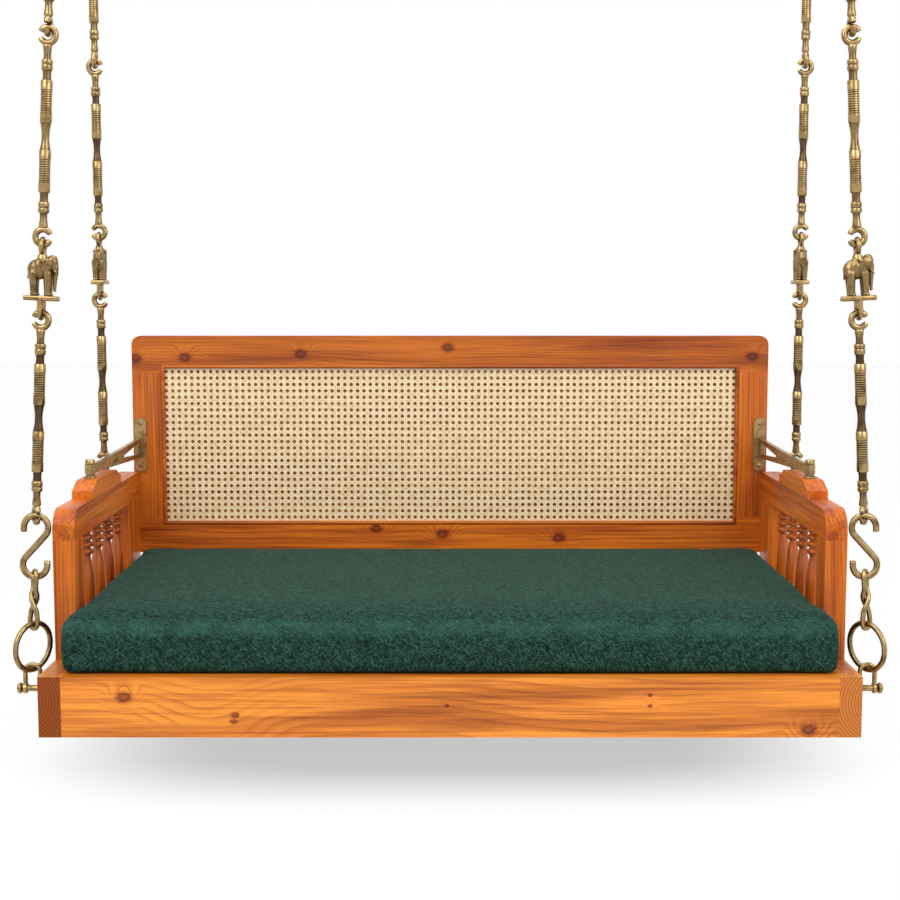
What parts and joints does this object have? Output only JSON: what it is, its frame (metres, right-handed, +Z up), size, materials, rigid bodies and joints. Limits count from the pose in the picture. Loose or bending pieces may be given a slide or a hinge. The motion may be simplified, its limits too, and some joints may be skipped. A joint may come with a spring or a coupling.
{
  "type": "jhoola swing",
  "caption": "Indian indoor bench swing with a framed cane back, turned arm spindles, a deep cushion and ornamental brass chains.",
  "frame": {"origin": "under the middle of the bench, at the height of its lowest edges", "axes": "+X towards the right-hand arm seen from the front, +Y towards the back panel, +Z up along the chains"},
  "size_m": [1.6644, 0.797, 1.7501],
  "materials": {
    "teak": "satin",
    "inner_wood": "satin",
    "brass": "antique, worn bright on the edges",
    "velvet": "mottled velvet",
    "cane": "woven cane"
  },
  "bodies": {
    "ceiling": {"ceiling_eyes": "brass", "ceiling_plates": "brass"},
    "chain_front_left": {"front_left_bars": "brass", "front_left_elephant": "brass", "front_left_links": "brass", "front_left_s_hook": "brass", "front_left_shackle": "brass"},
    "chain_front_right": {"front_right_bars": "brass", "front_right_elephant": "brass", "front_right_links": "brass", "front_right_s_hook": "brass", "front_right_shackle": "brass"},
    "chain_rear_left": {"rear_left_bars": "brass", "rear_left_elephant": "brass", "rear_left_links": "brass", "rear_left_s_hook": "brass", "rear_left_shackle": "brass"},
    "chain_rear_right": {"rear_right_bars": "brass", "rear_right_elephant": "brass", "rear_right_links": "brass", "rear_right_s_hook": "brass", "rear_right_shackle": "brass"},
    "bench": {"arm_crest_left": "teak", "arm_crest_right": "teak", "arm_front_post_left": "teak", "arm_front_post_right": "teak", "arm_rail_left": "teak", "arm_rail_right": "teak", "arm_rear_post_left": "teak", "arm_rear_post_right": "teak", "arm_spindles_left": "teak", "arm_spindles_right": "teak", "back_board": "inner_wood", "back_bottom_rail": "teak", "back_cleats": "inner_wood", "back_stile_left": "teak", "back_stile_right": "teak", "back_top_rail": "teak", "bracket_left": "brass", "bracket_post_left": "brass", "bracket_post_right": "brass", "bracket_right": "brass", "bracket_screws": "brass", "cane_bead": "teak", "cane_panel": "cane", "deck_cleats": "inner_wood", "front_rail": "teak", "pivot_bolts": "brass", "pivot_nuts": "brass", "pivot_spacers": "brass", "rear_rail": "teak", "seat_cushion": "velvet", "seat_deck": "inner_wood", "side_rail_left": "teak", "side_rail_right": "teak"}
  },
  "joints": [
    {"name": "swing_front_left", "type": "hinge", "parent": "ceiling", "child": "chain_front_left", "pos_m": [-0.704, -0.3385, 1.69415], "axis": [1, 0, 0], "range_deg": [-12, 12]},
    {"name": "swing_front_right", "type": "hinge", "parent": "ceiling", "child": "chain_front_right", "pos_m": [0.704, -0.3385, 1.69415], "axis": [1, 0, 0], "range_deg": [-12, 12]},
    {"name": "swing_rear_left", "type": "hinge", "parent": "ceiling", "child": "chain_rear_left", "pos_m": [-0.786, 0.3035, 1.69415], "axis": [1, 0, 0], "range_deg": [-12, 12]},
    {"name": "swing_rear_right", "type": "hinge", "parent": "ceiling", "child": "chain_rear_right", "pos_m": [0.786, 0.3035, 1.69415], "axis": [1, 0, 0], "range_deg": [-12, 12]},
    {"name": "bench_level", "type": "hinge", "parent": "chain_front_left", "child": "bench", "pos_m": [-0.786, -0.3385, 0.078], "axis": [1, 0, 0], "range_deg": [-12, 12]}
  ],
  "couplings": [
    {"joint": "swing_front_right", "follows": "swing_front_left", "ratio": 1},
    {"joint": "swing_rear_left", "follows": "swing_front_left", "ratio": 1},
    {"joint": "swing_rear_right", "follows": "swing_front_left", "ratio": 1},
    {"joint": "bench_level", "follows": "swing_front_left", "ratio": -1}
  ]
}
